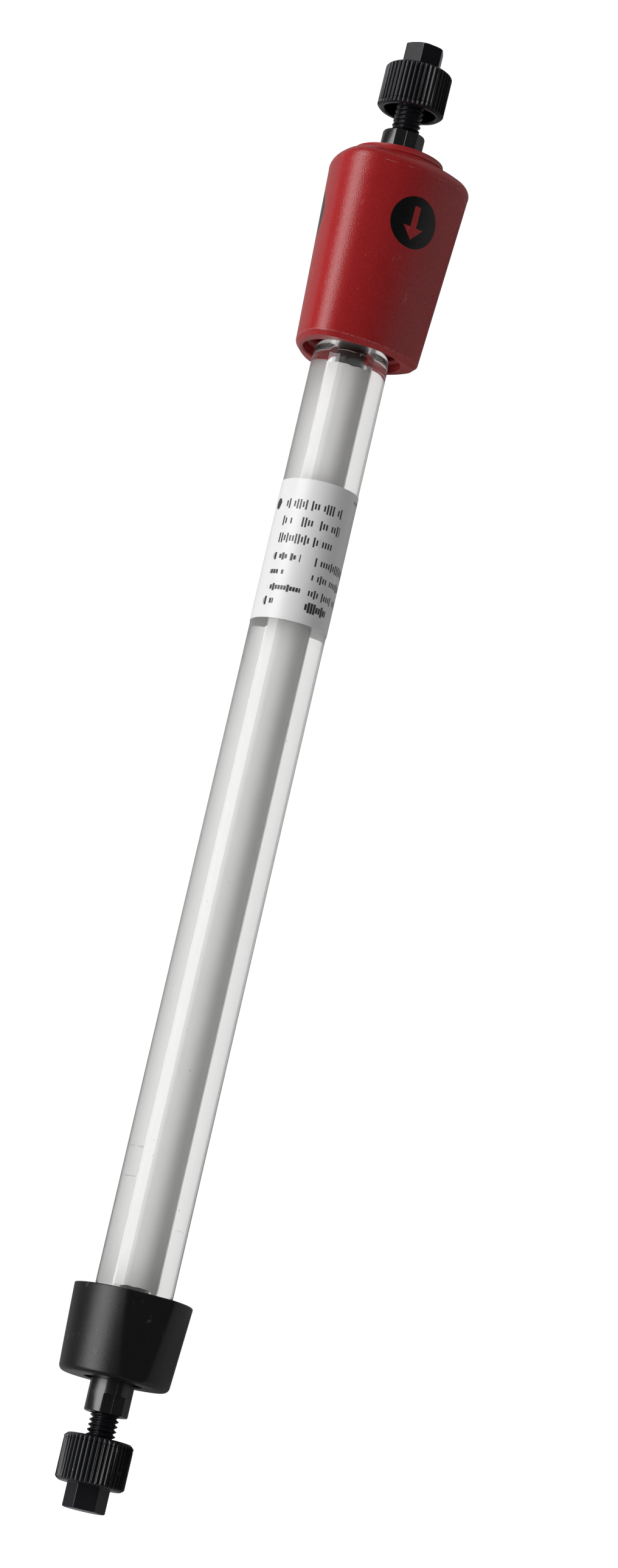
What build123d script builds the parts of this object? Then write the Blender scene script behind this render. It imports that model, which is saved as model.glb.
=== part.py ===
from build123d import *
import os
from dataclasses import dataclass
from math import atan2, cos, degrees, radians, sin

# Packed glass column for liquid chromatography, lying on its side, in millimetres.
# +X runs along the bore to the inlet end and +Z is up. The origin is on the bore's axis,
# half way along the packed bed. Every piece of an end is drawn about its own Z axis,
# which points outwards, with Z = 0 at the end of the bed, and then laid onto +X or -X.

# Glass tube
bed_length = 154.0
bore_diameter = 5.0
tube_diameter = 12.5
neck_diameter = 8.5
shoulder_land = 0.1
neck_length = 5.5
flange_diameter = 11.2
flange_length = 2.5
bore_chamfer = 0.4
inlet_shoulder_end = 3.0
outlet_shoulder_end = 1.0

# Label
label_start = 32.0
label_length = 23.5
label_thickness = 0.1

# Split threaded collar that sits in the groove of the glass neck
collar_diameter = 15.2
collar_setback = 2.0
collar_reach = 1.3
collar_slot = 2.4
collar_chamfer = 0.5
key_setback = 0.3

# Clearances
slide_clearance = 0.05
thread_clearance = 0.08
seal_clearance = 0.02
axial_clearance = 0.1
key_clearance = 0.1
ring_clearance = 0.1

# Filter holder: piston, keyed flange and stem
filter_rim = 0.45
filter_thickness = 0.8
seal_setback = 1.6
seal_groove_width = 1.3
seal_groove_depth = 1.0
seal_ring_width = 1.0
seal_ring_edge = 0.25
channel_diameter = 0.6
holder_flange_length = 1.3
holder_fin_thickness = 1.6
stem_diameter = 7.0
stem_chamfer = 0.25
stem_flat_depth = 0.5
stem_flat_length = 3.0
port_depth = 7.0
port_cone_depth = 1.6

# Snap ring that keeps the holder in its cap
snap_ring_thickness = 0.8
snap_ring_width = 1.2
snap_groove_depth = 0.4
snap_ring_gap = 2.6
snap_recess_clearance = 0.4
ledge_thickness = 1.2
inlet_ledge = 33.3

# Caps
cap_entry_depth = 1.6
cap_edge = 0.3

# Inlet cap: three rounded corners, widening towards its outer end
inlet_rim = 1.5
inlet_body_end = 34.8
inlet_boss_end = 36.1
inlet_entry_step = 0.44
inlet_rim_wall = 1.0
inlet_corner_rise = 2.0
inlet_flare = 1.74
inlet_dome_radius = 4.0
inlet_boss_setback = 3.0
inlet_boss_taper = 0.3
inlet_boss_chamfer = 0.45

# Outlet cap: a cone with three flats
outlet_rim = 0.9
outlet_cap_end = 14.75
outlet_entry_step = 0.22
outlet_rim_wall = 0.9
outlet_flat_taper = 0.21
outlet_flat_step = 0.88
outlet_cone_taper = 0.85
outlet_flat_roll = 10.0
outlet_outer_edge = 0.5

# How far each stem stands out of the bed's end, and how the flats and hexagons are turned
inlet_stem_end = 40.2
outlet_stem_end = 20.0
inlet_stem_flat_roll = 37.5
outlet_stem_flat_roll = -45.0

# Stop plug: coned screw, hollow ribbed wheel and hexagonal head
plug_screw_diameter = 4.76
plug_tip_diameter = 1.0
plug_showing = 3.85
wheel_diameter = 11.1
wheel_length = 7.5
wheel_wall = 1.25
wheel_web = 1.6
wheel_chamfer = 0.5
rib_count = 44
rib_depth = 0.3
hex_across_flats = 6.0
hex_length = 3.95
hex_chamfer = 0.25
inlet_hex_roll = 25.0
outlet_hex_roll = 0.0

# Worked-out sizes
bore_radius = bore_diameter / 2
tube_radius = tube_diameter / 2
neck_radius = neck_diameter / 2
shoulder_radius = tube_radius - neck_radius - shoulder_land
flange_radius = flange_diameter / 2
collar_radius = collar_diameter / 2
cap_bore_radius = collar_radius + thread_clearance
stem_radius = stem_diameter / 2
piston_radius = bore_radius - slide_clearance
filter_radius = piston_radius - filter_rim
seal_groove_radius = bore_radius - seal_groove_depth
key_reach = collar_radius - key_setback
holder_radius = flange_radius - key_clearance
snap_groove_radius = stem_radius - snap_groove_depth
snap_ring_radius = snap_groove_radius + snap_ring_width
snap_recess_radius = snap_ring_radius + snap_recess_clearance
inlet_entry_radius = cap_bore_radius + inlet_entry_step
inlet_rim_apothem = inlet_entry_radius + inlet_rim_wall
inlet_end_apothem = inlet_rim_apothem + inlet_flare
inlet_boss_radius = inlet_end_apothem - inlet_boss_setback
outlet_entry_radius = cap_bore_radius + outlet_entry_step
outlet_rim_flat = outlet_entry_radius + outlet_rim_wall
outlet_rim_radius = outlet_rim_flat + outlet_flat_step
port_radius = plug_screw_diameter / 2 + thread_clearance


@dataclass(frozen=True)
class End:
    """The stations of one end of the column, counted outwards from the bed's end."""

    name: str
    direction: int
    shoulder_end: float
    stem_end: float
    flat_roll: float
    ledge: float

    @property
    def glass_end(self):
        return self.shoulder_end + neck_length + flange_length

    @property
    def collar_start(self):
        return self.shoulder_end + collar_setback

    @property
    def collar_end(self):
        return self.glass_end + collar_reach

    @property
    def holder_shoulder(self):
        """Where the holder's widest part ends, just under the cap's inner ceiling."""
        return self.ledge - axial_clearance

    @property
    def port_floor(self):
        return self.stem_end - port_depth

    def lay(self, piece):
        """Lays a piece drawn about Z onto the column's axis, with its own X turned up to +Z."""
        seat = Plane(
            origin=(self.direction * bed_length / 2, 0, 0),
            x_dir=(0, 0, 1),
            z_dir=(self.direction, 0, 0),
        )
        return seat.location * piece


def turned(*profile):
    """A solid of revolution about Z from (radius, height) corners."""
    return revolve(Plane.XZ * make_face(Polyline(*profile, close=True)), Axis.Z)


def rod(radius, start, end):
    """A plain cylinder about Z between two heights."""
    return Pos(0, 0, start) * Cylinder(radius, end - start, align=(Align.CENTER, Align.CENTER, Align.MIN))


def glass_tube(inlet, outlet):
    """Thick tube whose ends are turned down to a neck with a flange behind it."""
    half = bed_length / 2
    inlet_neck = half + inlet.shoulder_end
    outlet_neck = -half - outlet.shoulder_end
    outline = Polyline(
        (-half - outlet.glass_end, bore_radius),
        (-half - outlet.glass_end, flange_radius),
        (outlet_neck - neck_length, flange_radius),
        (outlet_neck - neck_length, neck_radius),
        (outlet_neck, neck_radius),
        (outlet_neck, tube_radius),
        (inlet_neck, tube_radius),
        (inlet_neck, neck_radius),
        (inlet_neck + neck_length, neck_radius),
        (inlet_neck + neck_length, flange_radius),
        (half + inlet.glass_end, flange_radius),
        (half + inlet.glass_end, bore_radius),
        close=True,
    )
    section = make_face(outline)
    outer_corners = section.vertices().filter_by_position(Axis.Y, tube_radius - 0.01, tube_radius + 0.01)
    section = fillet(outer_corners, shoulder_radius)
    mouths = section.vertices().filter_by_position(Axis.Y, bore_radius - 0.01, bore_radius + 0.01)
    section = chamfer(mouths, bore_chamfer)
    return revolve(section, Axis.X)


def gel_bed():
    """The packed bed, which fills the bore between the two filters."""
    return Rot(0, 90, 0) * Cylinder(bore_radius, bed_length)


def label():
    """A strip wrapped once round the glass."""
    ring = Cylinder(tube_radius + label_thickness, label_length) - Cylinder(tube_radius, label_length)
    return Pos(label_start + label_length / 2, 0, 0) * Rot(0, 90, 0) * ring


def collar_half(end, side):
    """Half of the threaded ring that clasps the glass neck, with a slot left at each split."""
    start, step, stop = end.collar_start, end.shoulder_end + neck_length, end.collar_end
    ring = turned(
        (neck_radius, start),
        (collar_radius - collar_chamfer, start),
        (collar_radius, start + collar_chamfer),
        (collar_radius, stop - collar_chamfer),
        (collar_radius - collar_chamfer, stop),
        (flange_radius, stop),
        (flange_radius, step),
        (neck_radius, step),
    )
    reach = collar_diameter
    keep = Pos(side * (collar_slot + reach) / 2, 0, start) * Box(
        reach, 2 * reach, 3 * reach, align=(Align.CENTER, Align.CENTER, Align.CENTER)
    )
    return ring & keep


def holder(end):
    """Piston with a filter seat and seal groove, keyed flange, finned body and ported stem."""
    flange_start = end.glass_end + axial_clearance
    flange_stop = flange_start + holder_flange_length
    seal_end = seal_setback + seal_groove_width
    shoulder = end.holder_shoulder
    ring_start = end.ledge + ledge_thickness + ring_clearance
    ring_stop = ring_start + snap_ring_thickness
    top = end.stem_end
    body = turned(
        (0, 0),
        (piston_radius, 0),
        (piston_radius, seal_setback),
        (seal_groove_radius, seal_setback),
        (seal_groove_radius, seal_end),
        (piston_radius, seal_end),
        (piston_radius, flange_start),
        (holder_radius, flange_start),
        (holder_radius, flange_stop),
        (stem_radius, flange_stop),
        (stem_radius, ring_start),
        (snap_groove_radius, ring_start),
        (snap_groove_radius, ring_stop),
        (stem_radius, ring_stop),
        (stem_radius, top - stem_chamfer),
        (stem_radius - stem_chamfer, top),
        (0, top),
    )
    key = Pos(0, 0, flange_start) * Box(
        collar_slot - 2 * key_clearance,
        2 * key_reach,
        holder_flange_length,
        align=(Align.CENTER, Align.CENTER, Align.MIN),
    )
    body += key & rod(key_reach, flange_start, flange_stop)
    if shoulder - flange_stop > holder_flange_length:
        fins = Box(2 * holder_radius, holder_fin_thickness, shoulder - flange_stop,
                   align=(Align.CENTER, Align.CENTER, Align.MIN))
        fins += Rot(0, 0, 90) * fins
        body += (Pos(0, 0, flange_stop) * fins) & rod(holder_radius, flange_stop, shoulder)
        body += rod(holder_radius, shoulder - holder_flange_length, shoulder)
    body -= rod(filter_radius, 0, filter_thickness)
    body -= rod(channel_diameter / 2, 0, top)
    body -= turned(
        (0, end.port_floor),
        (channel_diameter / 2, end.port_floor),
        (port_radius, end.port_floor + port_cone_depth),
        (port_radius, top),
        (0, top),
    )
    flat_start = top - stem_flat_length
    for turn in (0, 180):
        cut = Pos(stem_radius - stem_flat_depth, 0, flat_start) * Box(
            stem_diameter, stem_diameter, stem_diameter, align=(Align.MIN, Align.CENTER, Align.MIN)
        )
        body -= Rot(0, 0, end.flat_roll + turn) * cut
    return body


def filter_disc():
    """Porous disc in the face of the piston."""
    return rod(filter_radius, 0, filter_thickness)


def seal_ring():
    """Rubber ring in the piston's groove, cut square with its edges taken off, which closes the bore."""
    outer = bore_radius - seal_clearance
    start = seal_setback + (seal_groove_width - seal_ring_width) / 2
    stop = start + seal_ring_width
    ring = rod(outer, start, stop) - rod(seal_groove_radius, start, stop)
    return chamfer(ring.edges().filter_by(GeomType.CIRCLE), seal_ring_edge)


def snap_ring(end):
    """Open ring in the stem's groove, on the outside of the cap's ledge."""
    start = end.ledge + ledge_thickness + ring_clearance
    ring = rod(snap_ring_radius, start, start + snap_ring_thickness)
    ring -= rod(snap_groove_radius, start, start + snap_ring_thickness)
    gap = Pos(snap_ring_radius, 0, start) * Box(
        2 * snap_ring_radius,
        snap_ring_gap,
        snap_ring_thickness,
        align=(Align.CENTER, Align.CENTER, Align.MIN),
    )
    return ring - gap


def cap_hollow(end, rim, entry_radius, outer_end):
    """What is cut out of a cap: entry, threaded bore, stem hole and recess for the snap ring."""
    entry_end = rim + cap_entry_depth
    recess_floor = end.ledge + ledge_thickness
    hole_radius = stem_radius + slide_clearance
    return turned(
        (0, rim),
        (entry_radius, rim),
        (entry_radius, entry_end),
        (cap_bore_radius, entry_end + entry_radius - cap_bore_radius),
        (cap_bore_radius, end.ledge),
        (hole_radius, end.ledge),
        (hole_radius, recess_floor),
        (snap_recess_radius, recess_floor),
        (snap_recess_radius, outer_end),
        (0, outer_end),
    )


def draft_angle(start_width, end_width, length):
    """The taper in degrees that takes a half width from one value to another."""
    return degrees(atan2(start_width - end_width, length))


def inlet_cap(end):
    """Tall three-cornered cap with a domed shoulder and a round boss about the stem."""
    length = inlet_body_end - inlet_rim
    triangle = RegularPolygon(inlet_rim_apothem, 3, major_radius=False)
    section = fillet(triangle.vertices(), inlet_rim_apothem - inlet_corner_rise)
    widening = draft_angle(inlet_rim_apothem, inlet_end_apothem, length)
    body = Pos(0, 0, inlet_rim) * extrude(section, length, taper=widening)
    body = fillet(body.faces().sort_by(Axis.Z)[-1].edges(), inlet_dome_radius)
    body = chamfer(body.faces().sort_by(Axis.Z)[0].edges(), cap_edge)
    boss = Pos(0, 0, inlet_body_end - cap_edge) * Cone(
        inlet_boss_radius,
        inlet_boss_radius - inlet_boss_taper,
        inlet_boss_end - inlet_body_end + cap_edge,
        align=(Align.CENTER, Align.CENTER, Align.MIN),
    )
    boss = chamfer(boss.faces().sort_by(Axis.Z)[-1].edges(), inlet_boss_chamfer)
    return body + boss - cap_hollow(end, inlet_rim, inlet_entry_radius, inlet_boss_end)


def outlet_cap(end):
    """Short rounded cone with three flats that run out towards its smaller outer end."""
    length = outlet_cap_end - outlet_rim
    outer_radius = outlet_rim_radius - outlet_cone_taper
    cone = turned(
        (0, outlet_rim),
        (outlet_rim_radius - cap_edge, outlet_rim),
        (outlet_rim_radius, outlet_rim + cap_edge),
        (outer_radius, outlet_cap_end - outlet_outer_edge),
        (outer_radius - outlet_outer_edge, outlet_cap_end),
        (0, outlet_cap_end),
    )
    flats = Pos(0, 0, outlet_rim) * Rot(0, 0, outlet_flat_roll) * extrude(
        RegularPolygon(outlet_rim_flat, 3, major_radius=False),
        length,
        taper=draft_angle(outlet_rim_flat, outlet_rim_flat - outlet_flat_taper, length),
    )
    return (cone & flats) - cap_hollow(end, outlet_rim, outlet_entry_radius, outlet_cap_end)


def rib_outline(height, inset):
    """The wheel's outline at a height: one crest and one root for each rib, drawn in by an inset."""
    crest = wheel_diameter / 2 - inset
    root = crest - rib_depth
    step = radians(360 / rib_count)
    corners = []
    for rib in range(rib_count):
        for radius, turn in ((crest, rib * step), (root, (rib + 0.5) * step)):
            corners.append((radius * cos(turn), radius * sin(turn), height))
    return make_face(Polyline(*corners, close=True))


def ribbed_wheel(start):
    """The plug's wheel: straight ribs round a cup that opens towards the column."""
    end = start + wheel_length
    bevel = start + wheel_chamfer
    barrel = extrude(rib_outline(bevel, 0), wheel_length - 2 * wheel_chamfer)
    near = loft([rib_outline(start, wheel_chamfer), rib_outline(bevel, 0)], ruled=True)
    far = loft([rib_outline(end - wheel_chamfer, 0), rib_outline(end, wheel_chamfer)], ruled=True)
    return barrel + near + far - rod(wheel_diameter / 2 - wheel_wall, start, end - wheel_web)


def stop_plug(end, hex_roll):
    """Screw with a coned tip, carried by a ribbed wheel with a hexagonal head."""
    wheel_start = end.stem_end + plug_showing
    wheel_end = wheel_start + wheel_length
    screw_radius = plug_screw_diameter / 2
    tip_radius = plug_tip_diameter / 2
    cone_slope = port_cone_depth / (port_radius - channel_diameter / 2)
    tip = end.port_floor + cone_slope * (tip_radius - channel_diameter / 2) + axial_clearance
    screw = turned(
        (0, tip),
        (tip_radius, tip),
        (screw_radius, tip + cone_slope * (screw_radius - tip_radius)),
        (screw_radius, wheel_end - wheel_web),
        (0, wheel_end - wheel_web),
    )
    head = extrude(RegularPolygon(hex_across_flats / 2, 6, major_radius=False), hex_length)
    head = chamfer(head.faces().sort_by(Axis.Z)[-1].edges(), hex_chamfer)
    head = Pos(0, 0, wheel_end) * Rot(0, 0, hex_roll) * head
    return ribbed_wheel(wheel_start) + screw + head


INLET = End("top", 1, inlet_shoulder_end, inlet_stem_end, inlet_stem_flat_roll, inlet_ledge)
OUTLET = End("bottom", -1, outlet_shoulder_end, outlet_stem_end, outlet_stem_flat_roll,
             outlet_shoulder_end + neck_length + flange_length + holder_flange_length + 2 * axial_clearance)


def end_pieces(end, cap, hex_roll):
    """Every piece of one end, laid onto the column's axis."""
    pieces = {
        "collar_upper": collar_half(end, 1),
        "collar_lower": collar_half(end, -1),
        "filter_holder": holder(end),
        "filter": filter_disc(),
        "o_ring": seal_ring(),
        "snap_ring": snap_ring(end),
        "cap": cap(end),
        "stop_plug": stop_plug(end, hex_roll),
    }
    return {f"{end.name}_{name}": end.lay(piece) for name, piece in pieces.items()}


def main():
    os.makedirs("parts", exist_ok=True)
    pieces = {"glass_tube": glass_tube(INLET, OUTLET), "gel_bed": gel_bed(), "label": label()}
    pieces.update(end_pieces(INLET, inlet_cap, inlet_hex_roll))
    pieces.update(end_pieces(OUTLET, outlet_cap, outlet_hex_roll))
    for name, piece in pieces.items():
        export_step(piece, f"parts/{name}.step")


main()
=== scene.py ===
"""The looks of a packed glass chromatography column that lies on its side.

+X runs along the bore to the inlet end and +Z is up. Lengths are in metres. Each end of the column
is worked out about its own axis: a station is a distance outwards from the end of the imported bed.
"""

import logging
import math
from dataclasses import dataclass, field
from enum import Enum
from typing import Union

import bpy
import numpy as np
from mathutils import Matrix, Vector

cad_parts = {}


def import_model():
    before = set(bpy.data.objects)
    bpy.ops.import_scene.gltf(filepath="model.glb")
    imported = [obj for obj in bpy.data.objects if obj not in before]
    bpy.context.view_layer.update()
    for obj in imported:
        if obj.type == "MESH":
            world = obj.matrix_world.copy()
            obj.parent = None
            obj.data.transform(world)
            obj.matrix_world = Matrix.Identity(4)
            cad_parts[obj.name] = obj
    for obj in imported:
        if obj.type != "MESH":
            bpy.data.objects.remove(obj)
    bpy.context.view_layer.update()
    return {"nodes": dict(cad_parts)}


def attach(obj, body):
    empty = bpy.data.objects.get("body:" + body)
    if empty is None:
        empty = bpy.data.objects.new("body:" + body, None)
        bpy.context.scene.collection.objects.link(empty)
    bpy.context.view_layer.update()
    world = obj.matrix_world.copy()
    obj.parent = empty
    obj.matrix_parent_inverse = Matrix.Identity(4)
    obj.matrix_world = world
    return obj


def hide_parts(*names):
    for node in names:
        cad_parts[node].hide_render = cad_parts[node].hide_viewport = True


LOG = logging.getLogger("column")
MM = 0.001
HALF_BED = 77.0 * MM
TAU = 2.0 * math.pi

Triple = tuple[float, float, float]
Colour = tuple[float, float, float, float]
Number = Union["Value", float]
Paint = Union[bpy.types.NodeSocket, Colour]
Feed = Union["Value", bpy.types.NodeSocket, float, tuple]

EVEN: Triple = (1.0, 1.0, 1.0)
WHITE: Colour = (1.0, 1.0, 1.0, 1.0)


class Finish(Enum):
    """The material slots of the record that the pieces take their finish from."""

    GLASS = "clear_glass"
    GEL = "white_gel"
    LABEL = "label_film"
    RED = "red_cap_plastic"
    BLACK = "black_cap_plastic"
    COLLAR = "collar_plastic"
    HOLDER = "holder_plastic"
    FILTER = "porous_filter"
    RUBBER = "seal_rubber"
    STEEL = "ring_steel"
    PLUG = "plug_plastic"


# ---------------------------------------------------------------- shader maths


class Value:
    """A number that varies over a surface, held as a node socket; its arithmetic adds Math nodes."""

    def __init__(self, graph: "Graph", socket: bpy.types.NodeSocket) -> None:
        """Wraps one output socket of a material's node tree."""
        self.graph = graph
        self.socket = socket

    def _math(self, operation: str, *terms: Number) -> "Value":
        """Adds one Math node over the terms, in order."""
        return self.graph.math(operation, *terms)

    def __add__(self, other: Number) -> "Value":
        """The sum."""
        return self._math("ADD", self, other)

    __radd__ = __add__

    def __sub__(self, other: Number) -> "Value":
        """The difference."""
        return self._math("SUBTRACT", self, other)

    def __rsub__(self, other: Number) -> "Value":
        """The difference, taken from a plain number."""
        return self._math("SUBTRACT", other, self)

    def __mul__(self, other: Number) -> "Value":
        """The product."""
        return self._math("MULTIPLY", self, other)

    __rmul__ = __mul__

    def __truediv__(self, other: Number) -> "Value":
        """The quotient."""
        return self._math("DIVIDE", self, other)

    def __pow__(self, other: Number) -> "Value":
        """The power."""
        return self._math("POWER", self, other)

    def __neg__(self) -> "Value":
        """The value with its sign changed."""
        return self._math("MULTIPLY", self, -1.0)

    def __abs__(self) -> "Value":
        """The value without its sign."""
        return self._math("ABSOLUTE", self)

    def clamp(self) -> "Value":
        """The value held between 0 and 1."""
        return self._math("MINIMUM", self._math("MAXIMUM", self, 0.0), 1.0)

    def below(self, edge: float, soft: float) -> "Value":
        """1 where the value is under edge and 0 where it is over, with a ramp of width soft."""
        return ((edge - self) / soft + 0.5).clamp()

    def above(self, edge: float, soft: float) -> "Value":
        """1 where the value is over edge and 0 where it is under, with a ramp of width soft."""
        return ((self - edge) / soft + 0.5).clamp()

    def within(self, low: float, high: float, soft: float) -> "Value":
        """1 between two edges and 0 outside them, with ramps of width soft."""
        middle, half = 0.5 * (low + high), 0.5 * (high - low)
        return abs(self - middle).below(half, soft)

    def whole(self) -> "Value":
        """The value rounded down."""
        return self._math("FLOOR", self)


class Graph:
    """One material's node tree, with short ways to add the nodes that the finishes use."""

    def __init__(self, name: str) -> None:
        """Starts an empty material of that name."""
        self.material = bpy.data.materials.new(name)
        self.material.use_nodes = True
        self.tree = self.material.node_tree
        self.tree.nodes.clear()
        self.coordinates = self.node("ShaderNodeTexCoord").outputs["Object"]

    def node(self, kind: str, settings: dict | None = None, inputs: dict | None = None) -> bpy.types.Node:
        """Adds any node.

        Args:
            kind: The node's type.
            settings: Attributes that are set before its sockets.
            inputs: Socket values or links, by socket name or number.
        Returns:
            The new node.
        """
        made = self.tree.nodes.new(kind)
        for key, value in (settings or {}).items():
            setattr(made, key, value)
        for key, value in (inputs or {}).items():
            self.feed(made.inputs[key], value)
        return made

    def feed(self, socket: bpy.types.NodeSocket, value: Feed) -> None:
        """Links or sets one input socket.

        Args:
            socket: The input.
            value: A value or an output socket to link, or a plain number, colour or vector to set.
        """
        source = value.socket if isinstance(value, Value) else value
        if isinstance(source, bpy.types.NodeSocket):
            self.tree.links.new(source, socket)
        else:
            socket.default_value = source

    def math(self, operation: str, *terms: Number) -> Value:
        """One Math node over the terms."""
        made = self.node("ShaderNodeMath", {"operation": operation}, dict(enumerate(terms)))
        return Value(self, made.outputs[0])

    def axis(self, letter: str) -> Value:
        """One of the Object coordinates, in metres."""
        return Value(self, self.node("ShaderNodeSeparateXYZ", None, {0: self.coordinates}).outputs[letter])

    def noise(self, scale: float, detail: float = 2.0, rough: float = 0.5, stretch: Triple = EVEN) -> Value:
        """Fractal noise in Object coordinates.

        Args:
            scale: Waves in a metre.
            detail: Octaves added to the first.
            rough: Each octave's share of the one before.
            stretch: Factors on X, Y and Z; under 1 they draw the pattern out.
        Returns:
            The noise, from 0 to 1.
        """
        place = self.node("ShaderNodeMapping", None, {"Vector": self.coordinates, "Scale": stretch})
        made = self.node("ShaderNodeTexNoise", None, {
            "Vector": place.outputs[0], "Scale": scale, "Detail": detail, "Roughness": rough,
        })
        return Value(self, made.outputs["Fac"])

    def cells(self, scale: float) -> Value:
        """Distance to the nearest of scattered points, of which scale make a metre."""
        made = self.node("ShaderNodeTexVoronoi", None, {"Vector": self.coordinates, "Scale": scale})
        return Value(self, made.outputs["Distance"])

    def dice(self, column: Value, row: float) -> tuple[Value, Value]:
        """Throws two dice for each whole number of a column, which fall differently in each row.

        Args:
            column: A value that keeps to whole numbers.
            row: The row's own number.
        Returns:
            Two random numbers from 0 to 1.
        """
        place = self.node("ShaderNodeCombineXYZ", None, {0: column, 1: row})
        made = self.node(
            "ShaderNodeTexWhiteNoise", {"noise_dimensions": "2D"}, {"Vector": place.outputs[0]},
        )
        parts = self.node("ShaderNodeSeparateColor", None, {0: made.outputs["Color"]})
        return Value(self, parts.outputs[0]), Value(self, parts.outputs[1])

    def mix(self, factor: Feed, first: Paint, second: Paint) -> bpy.types.NodeSocket:
        """A colour that goes from first to second as factor goes from 0 to 1."""
        made = self.node("ShaderNodeMix", {"data_type": "RGBA"}, {0: factor, 6: first, 7: second})
        return made.outputs[2]

    def blend(self, factor: Feed, first: bpy.types.Node, second: bpy.types.Node) -> bpy.types.Node:
        """A shader that goes from first to second as factor goes from 0 to 1."""
        feeds = {0: factor, 1: first.outputs[0], 2: second.outputs[0]}
        return self.node("ShaderNodeMixShader", None, feeds)

    def bump(self, height: Value, distance: float) -> bpy.types.NodeSocket:
        """A normal tilted by a height from 0 to 1, which stands for distance metres."""
        return self.node("ShaderNodeBump", None, {"Height": height, "Distance": distance}).outputs[0]

    def surface(self, shader: bpy.types.Node) -> bpy.types.Material:
        """Joins the last shader to the output and gives back the material."""
        self.node("ShaderNodeOutputMaterial", None, {"Surface": shader.outputs[0]})
        return self.material


def rgb(red: float, green: float, blue: float) -> Colour:
    """An opaque linear colour."""
    return (red, green, blue, 1.0)


# ---------------------------------------------------------------- finishes


@dataclass(frozen=True)
class MouldedPlastic:
    """Spark-eroded moulded plastic: fine even grain, slight mottling, pale scuffs and specks of dust."""

    name: str
    colour: Colour
    scuffed: Colour
    roughness: float = 0.42
    grain_size: float = 0.15 * MM
    grain_height: float = 0.012 * MM
    grain_contrast: float = 2.2
    scuff_share: float = 0.64
    dust: float = 0.5
    dust_colour: Colour = rgb(0.4, 0.37, 0.36)
    specular: float = 0.5

    def extras(self, graph: Graph, tone: Paint, rough: Value) -> tuple[Paint, Number]:
        """Marks and wear of one moulding, laid over its colour and roughness; plain plastic has none."""
        return tone, rough

    def material(self) -> bpy.types.Material:
        """Grain is a bump of fine noise; scuffs lighten and dull the colour where broad noise is high.

        Returns:
            The material.
        """
        graph = Graph(self.name)
        bumps = graph.noise(1.0 / self.grain_size, 1.0, 0.5)
        grain = ((bumps - 0.5) * self.grain_contrast + 0.5).clamp()
        mottle = graph.noise(260.0, 3.0, 0.6)
        streaks = graph.noise(1600.0, 4.0, 0.7, (0.25, 1.0, 1.0))
        scuff = (mottle.above(self.scuff_share, 0.1) * streaks.above(0.62, 0.06)).clamp()
        speck = graph.cells(620.0).below(0.05, 0.03) * graph.noise(90.0).above(0.55, 0.05) * self.dust
        tone = graph.mix((0.35 * mottle + 0.65 * grain).clamp(), self.colour, self.scuffed)
        tone = graph.mix((0.25 * scuff + speck).clamp(), tone, self.dust_colour)
        tone, rough = self.extras(graph, tone, self.roughness + 0.1 * (mottle - 0.5) + 0.15 * scuff)
        shader = graph.node("ShaderNodeBsdfPrincipled", None, {
            "Base Color": tone,
            "Roughness": rough.clamp(),
            "Specular IOR Level": self.specular,
            "Normal": graph.bump(bumps, self.grain_height),
        })
        return graph.surface(shader)


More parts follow.
